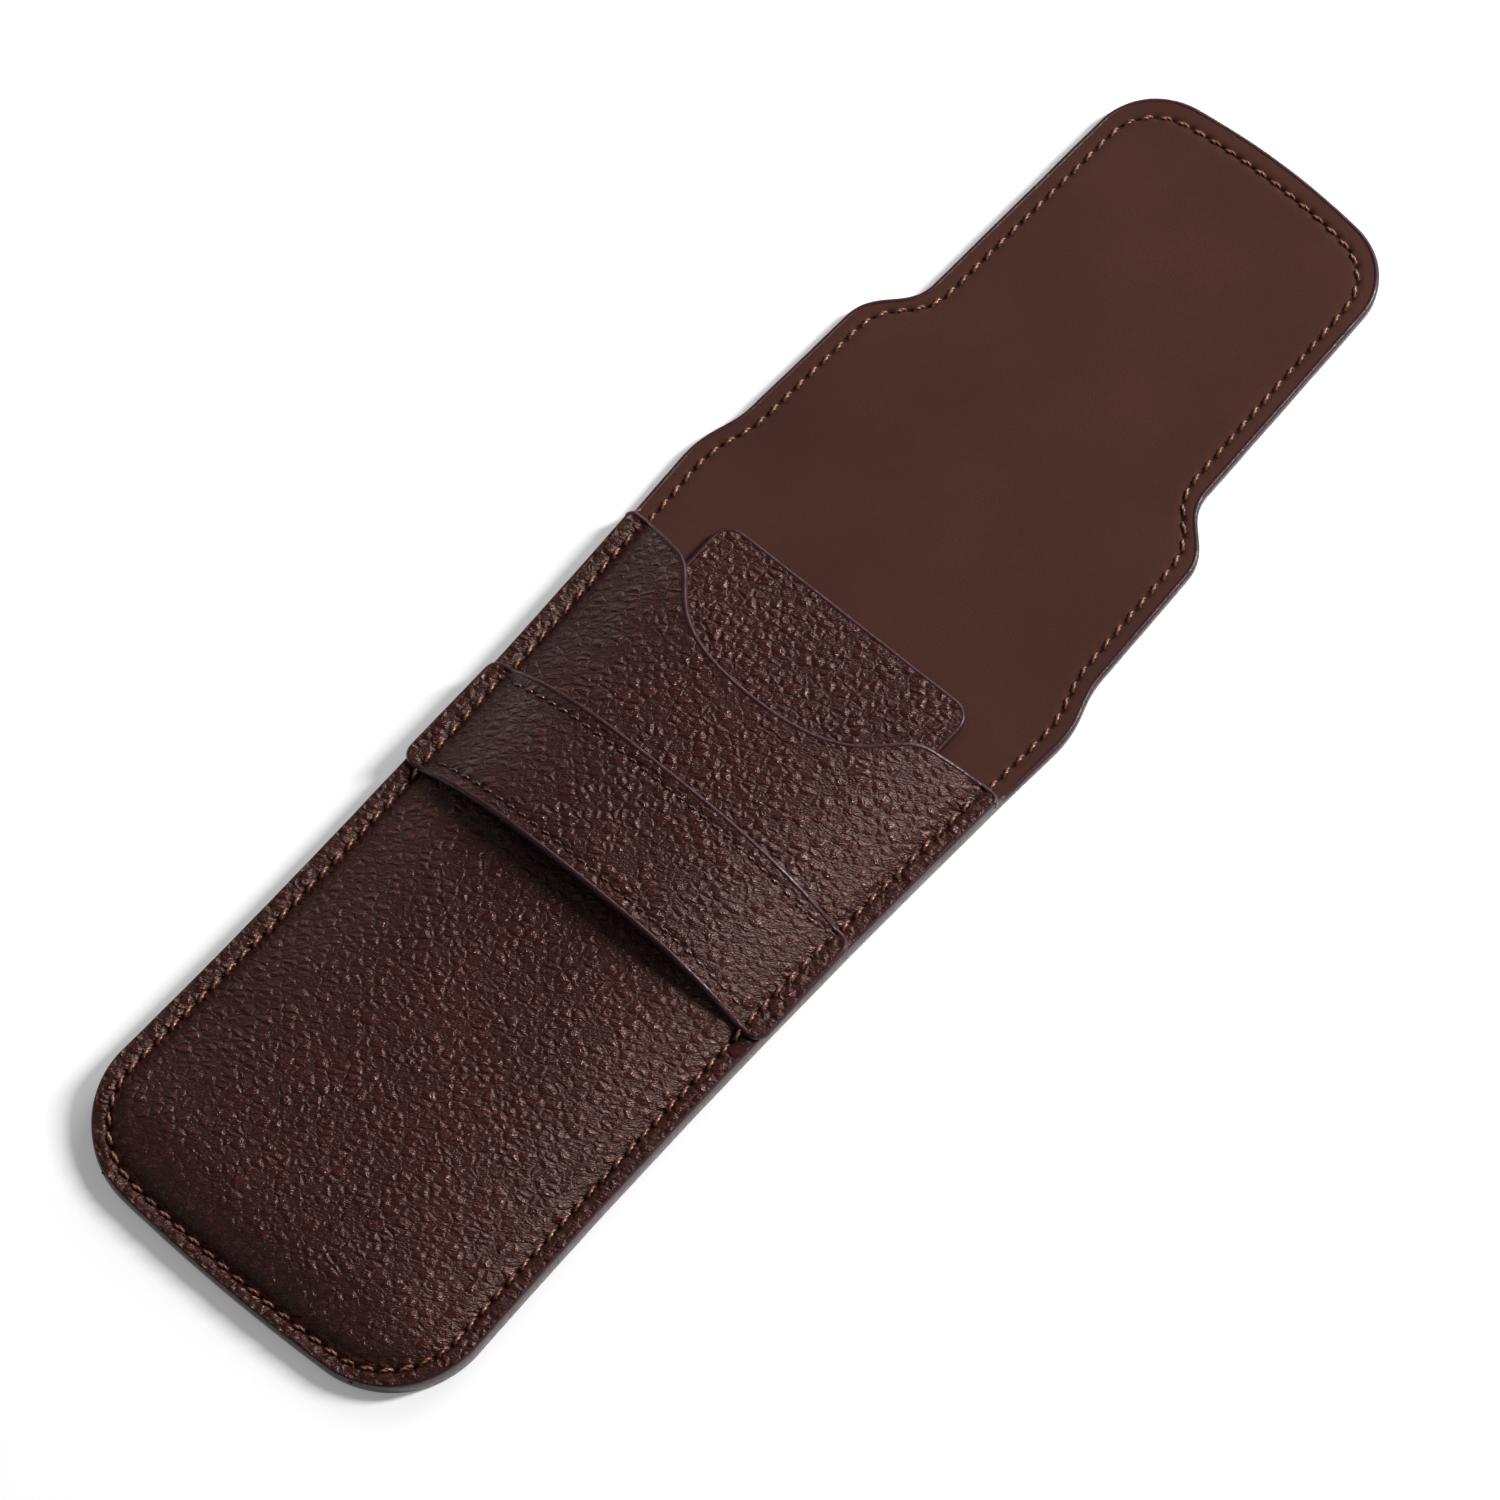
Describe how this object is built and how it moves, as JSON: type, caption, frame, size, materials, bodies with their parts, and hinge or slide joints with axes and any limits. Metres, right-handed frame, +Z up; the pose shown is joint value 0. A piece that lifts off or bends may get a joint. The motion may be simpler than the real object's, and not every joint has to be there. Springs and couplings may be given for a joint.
{
  "type": "watch pouch",
  "caption": "Slim leather pouch for one wristwatch: formed front pocket with a scooped mouth, divider leaf, tuck-in flap and a keeper strap.",
  "frame": {"origin": "middle of the open pouch's outline, on the surface that the back lies on", "axes": "+X across the pouch, +Y along it from the closed bottom to the flap's tip, +Z up out of the back towards the formed front"},
  "size_m": [0.0712, 0.2322, 0.0141],
  "materials": {
    "pebbled_leather": "pebbled full-grain calf, dark brown, semi-matt with bright grain tops",
    "lining_suede": "smooth brown microsuede, matt",
    "edge_paint": "rounded edge paint, mauve-burgundy, satin",
    "thread": "twisted tan sewing thread",
    "stiffener": "bonded fibre board",
    "padding_foam": "thin soft interlining"
  },
  "bodies": {
    "pouch_body": {"back_leather": "pebbled_leather", "back_board": "stiffener", "back_lining": "lining_suede", "back_edge_paint": "edge_paint", "back_seam_thread": "thread", "back_under_thread": "thread", "front_leather": "pebbled_leather", "front_padding": "padding_foam", "front_lining": "lining_suede", "front_edge_paint": "edge_paint", "mouth_edge_paint": "edge_paint", "keeper_leather": "pebbled_leather", "keeper_lining": "lining_suede", "keeper_edge_paint": "edge_paint", "keeper_upper_thread": "thread", "keeper_lower_thread": "thread", "divider_tail": "pebbled_leather"},
    "flap_bridge": {"bridge_leather": "pebbled_leather", "bridge_board": "stiffener", "bridge_lining": "lining_suede", "bridge_edge_paint": "edge_paint", "bridge_seam_thread": "thread", "bridge_under_thread": "thread"},
    "flap_tongue": {"tongue_leather": "pebbled_leather", "tongue_board": "stiffener", "tongue_lining": "lining_suede", "tongue_edge_paint": "edge_paint", "tongue_seam_thread": "thread", "tongue_under_thread": "thread"},
    "divider": {"divider_leather": "pebbled_leather", "divider_lining": "lining_suede", "divider_edge_paint": "edge_paint"}
  },
  "joints": [
    {"name": "back_fold", "type": "hinge", "parent": "pouch_body", "child": "flap_bridge", "pos_m": [0, 0.0217, 0.002], "axis": [1, 0, 0], "range_deg": [0, 90]},
    {"name": "front_fold", "type": "hinge", "parent": "flap_bridge", "child": "flap_tongue", "pos_m": [0, 0.0377, 0.002], "axis": [1, 0, 0], "range_deg": [0, 90]},
    {"name": "divider_lift", "type": "hinge", "parent": "pouch_body", "child": "divider", "pos_m": [0, -0.0618, 0.0033], "axis": [1, 0, 0], "range_deg": [0, 1.5]}
  ]
}
